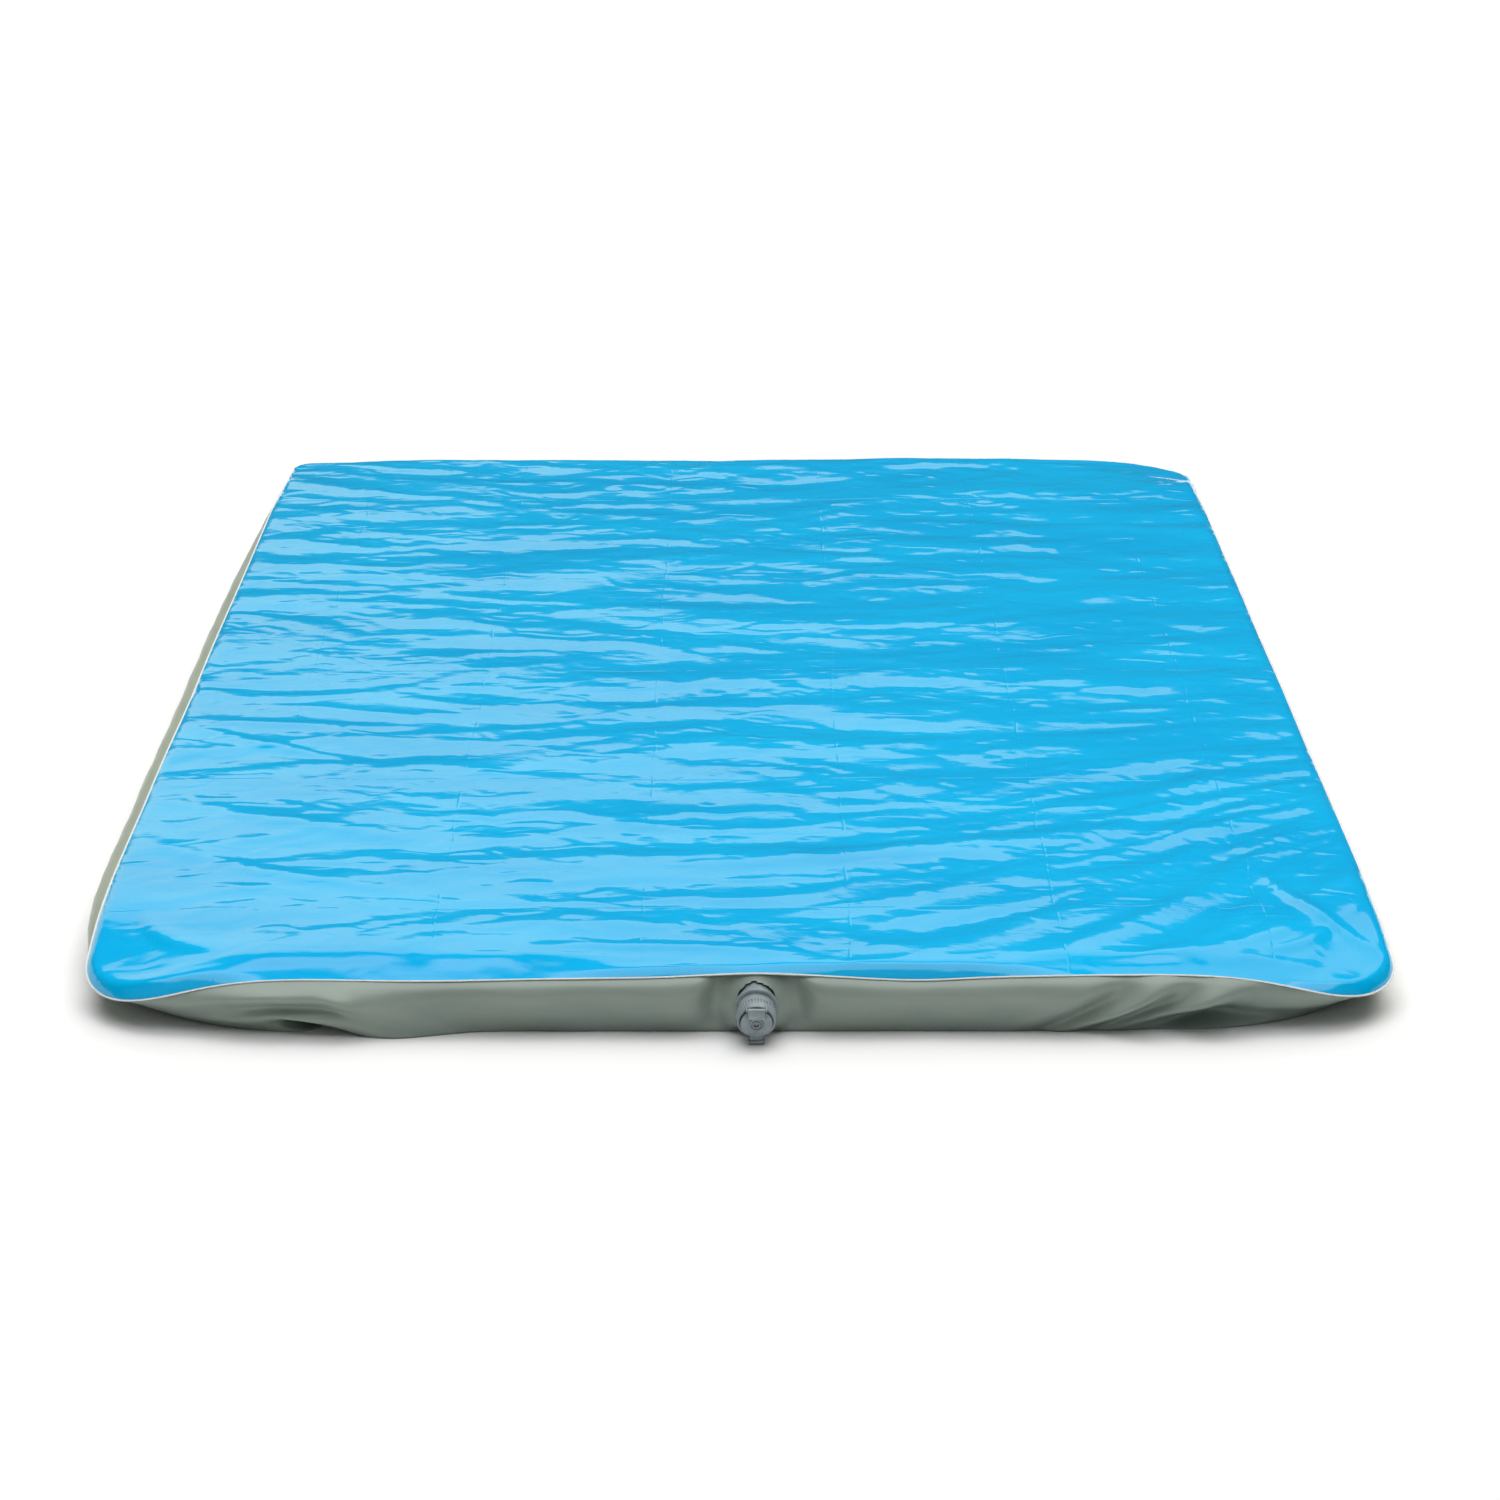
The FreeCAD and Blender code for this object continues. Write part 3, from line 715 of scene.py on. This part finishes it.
def foam_material(name, dark, light, cell_mm):
    """Open-cell polyurethane foam: matt, with cut cells drawn at their own size."""
    material, tree, shader, place = new_material(name)
    sized = add(tree, VECTOR, TIMES, i0=place, i1=per_mm(cell_mm, cell_mm, cell_mm))
    cells = add(tree, CELLS, Vector=sized, Scale=1.0)
    tone = add(tree, RAMP, Fac=cells)
    ends = tone.color_ramp.elements
    ends[0].color, ends[1].color = linear(dark), linear(light)
    tree.links.new(tone.outputs[0], shader.inputs["Base Color"])
    bump = add(tree, BUMP, Strength=0.6, Distance=0.6 * MM, Height=cells)
    tree.links.new(bump.outputs[0], shader.inputs["Normal"])
    shader.inputs["Roughness"].default_value = 0.95
    return material


# ---- Studio ----

CAMERA_LENS = 97.51
CAMERA_PITCH = 17.99
CAMERA_YAW = -0.14
CAMERA_PLACE = (0.0005, -HALF_LENGTH - 3.41, SEAM_Z + 1.323)
FLOOR_HALF = 30.0
BACKDROP_RADIUS = 28.0
BACKDROP_STEPS = 48
SUN_STRENGTH, SUN_COLOUR, SUN_WIDTH, SUN_TURN = 1.95, (0.98, 0.985, 1.0), 62, (-37, 4)
# Directions in the world, as parts of a unit vector. The warm band lies behind the object and leans with X.
BAND_COLOUR, BAND_LEAN, BAND_DIM = (1, 0.89, 0.50, 1), -0.65, 0.05
BAND_LOWER, BAND_UPPER, BAND_BEHIND = (0.330, 0.345), (0.66, 0.74), (0.0, 0.3)
FRONT_REACH, FRONT_STRENGTH = (-0.1, -0.6), 0.25
PANEL_HEIGHT, PANEL_REACH, PANEL_STRENGTH = (0.80, 0.88), (0.55, 0.40), 2.2


def make_camera():
    """The camera beyond the foot end, a little above the object."""
    camera = bpy.data.cameras.new("view")
    camera.lens = CAMERA_LENS
    camera.sensor_width = 36.0
    camera.clip_end = 100.0
    seen = bpy.data.objects.new("view", camera)
    seen.location = CAMERA_PLACE
    seen.rotation_euler = (math.radians(90 - CAMERA_PITCH), 0, math.radians(CAMERA_YAW))
    bpy.context.scene.collection.objects.link(seen)
    bpy.context.scene.camera = seen


def make_floor():
    """A wide matt floor just under the object."""
    mesh = bpy.data.meshes.new("studio_floor")
    half = FLOOR_HALF
    corners = [(-half, -half, 0), (half, -half, 0), (half, half, 0), (-half, half, 0)]
    mesh.from_pydata(corners, [], [(0, 1, 2, 3)])
    floor = bpy.data.objects.new("studio_floor", mesh)
    floor.location.z = cad_box[0][2] - 0.2 * MM
    bpy.context.scene.collection.objects.link(floor)
    material = bpy.data.materials.new("matt_white_floor")
    material.use_nodes = True
    shader = material.node_tree.nodes["Principled BSDF"]
    shader.inputs["Base Color"].default_value = linear("E9E9EA")
    shader.inputs["Roughness"].default_value = 1.0
    shader.inputs["Specular IOR Level"].default_value = 0.0
    mesh.materials.append(material)


def make_backdrop():
    """A pale ring far round the floor, seen behind the object only: it gives no light and no reflection."""
    steps = BACKDROP_STEPS
    turns = [math.tau * k / steps for k in range(steps)]
    ring = [(BACKDROP_RADIUS * math.cos(a), BACKDROP_RADIUS * math.sin(a)) for a in turns]
    low, high = -1.0, 2 * BACKDROP_RADIUS
    points = [(x, y, low) for x, y in ring] + [(x, y, high) for x, y in ring]
    mesh = bpy.data.meshes.new("studio_backdrop")
    faces = [(k, (k + 1) % steps, (k + 1) % steps + steps, k + steps) for k in range(steps)]
    mesh.from_pydata(points, [], faces)
    backdrop = bpy.data.objects.new("studio_backdrop", mesh)
    backdrop.visible_glossy = False
    backdrop.visible_diffuse = False
    backdrop.visible_transmission = False
    backdrop.visible_shadow = False
    bpy.context.scene.collection.objects.link(backdrop)
    material = bpy.data.materials.new("lit_white_backdrop")
    material.use_nodes = True
    shader = material.node_tree.nodes["Principled BSDF"]
    shader.inputs["Base Color"].default_value = linear("000000")
    shader.inputs["Specular IOR Level"].default_value = 0.0
    shader.inputs["Emission Color"].default_value = linear("FFFFFF")
    shader.inputs["Emission Strength"].default_value = 1.0
    mesh.materials.append(material)


def make_light():
    """A broad light overhead, and a world that the gloss reflects.

    The world has a low warm band behind the object, a white panel overhead and a weak fill from the front.
    """
    sun = bpy.data.lights.new("overhead_softbox", "SUN")
    sun.energy = SUN_STRENGTH
    sun.color = SUN_COLOUR
    sun.angle = math.radians(SUN_WIDTH)
    lamp = bpy.data.objects.new("overhead_softbox", sun)
    lamp.rotation_euler = (math.radians(SUN_TURN[0]), math.radians(SUN_TURN[1]), 0)
    lamp.visible_glossy = False
    bpy.context.scene.collection.objects.link(lamp)
    world = bpy.data.worlds.new("studio")
    world.use_nodes = True
    tree = world.node_tree
    direction = tree.nodes.new("ShaderNodeTexCoord").outputs["Generated"]
    x, y, z = add(tree, "ShaderNodeSeparateXYZ", Vector=direction).outputs
    slanted = add(tree, MATH, PLUS, i0=z, i1=add(tree, MATH, TIMES, i0=x, i1=BAND_LEAN))
    lower = add(tree, RANGE, SOFT, Value=slanted, i1=BAND_LOWER[0], i2=BAND_LOWER[1], i3=BAND_DIM, i4=1.0)
    upper = add(tree, RANGE, SOFT, Value=slanted, i1=BAND_UPPER[0], i2=BAND_UPPER[1], i3=1.0, i4=BAND_DIM)
    behind = add(tree, RANGE, SOFT, Value=y, i1=BAND_BEHIND[0], i2=BAND_BEHIND[1], i3=BAND_DIM, i4=1.0)
    front = add(tree, RANGE, SOFT, Value=y, i1=FRONT_REACH[0], i2=FRONT_REACH[1], i3=0.0, i4=FRONT_STRENGTH)
    band = add(tree, MATH, TIMES, i0=add(tree, MATH, TIMES, i0=lower, i1=upper), i1=behind)
    high = add(tree, RANGE, SOFT, Value=z, i1=PANEL_HEIGHT[0], i2=PANEL_HEIGHT[1], i3=0.0, i4=PANEL_STRENGTH)
    ahead = add(tree, RANGE, SOFT, Value=y, i1=PANEL_REACH[0], i2=PANEL_REACH[1], i3=0.0, i4=1.0)
    around = add(tree, MATH, LARGER, i0=front, i1=add(tree, MATH, TIMES, i0=high, i1=ahead))
    sweep = add(tree, "ShaderNodeBackground", Color=BAND_COLOUR, Strength=band)
    plain = tree.nodes["Background"]
    tree.links.new(around.outputs[0], plain.inputs["Strength"])
    plain.inputs["Color"].default_value = (1, 1, 1, 1)
    both = add(tree, "ShaderNodeAddShader", i0=sweep, i1=plain)
    tree.links.new(both.outputs[0], tree.nodes["World Output"].inputs["Surface"])
    bpy.context.scene.world = world
    bpy.context.scene.view_settings.view_transform = "Standard"


# ---- Making ----

film = film_material()
knit = knit_material()
vinyl = vinyl_material()
soft_moulding = soft_moulding_material()
seal = seal_material()
soft_foam = foam_material("open_cell_foam_soft", "CFC7A6", "EFE9CF", 1.6)
firm_foam = foam_material("open_cell_foam_firm", "A9B4C4", "D5DCE6", 1.2)
spacer_foam = foam_material("open_spacer_foam", "C9CDD2", "F0F2F4", 4.0)

sheet = make_film(film)
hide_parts("top_sheet")

backing = make_strip("knit_edge", knit, 1.8 * MM, 5 * MM, 0.0, 0.8 * MM)
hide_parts("knit_backing")

band = make_strip("weld_strip", vinyl, 0.6 * MM, 5 * MM, -1.2 * MM, -0.05 * MM)
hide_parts("weld_band")

tray = make_tray(vinyl)
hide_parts("base_tray", "valve_patch")

CAD_FINISHES = {
    "top_film": film, "white_knit": knit, "grey_vinyl": vinyl, "valve_plastic": soft_moulding,
    "seal_rubber": seal, "foam_soft": soft_foam, "foam_firm": firm_foam, "spacer_mesh": spacer_foam,
}
for part in frame["record"]["subparts"]:
    node = frame["nodes"][part["node"]]
    finish = CAD_FINISHES[part["material_slot"]]
    node.data.materials.clear()
    node.data.materials.append(finish)

make_camera()
make_floor()
make_backdrop()
make_light()
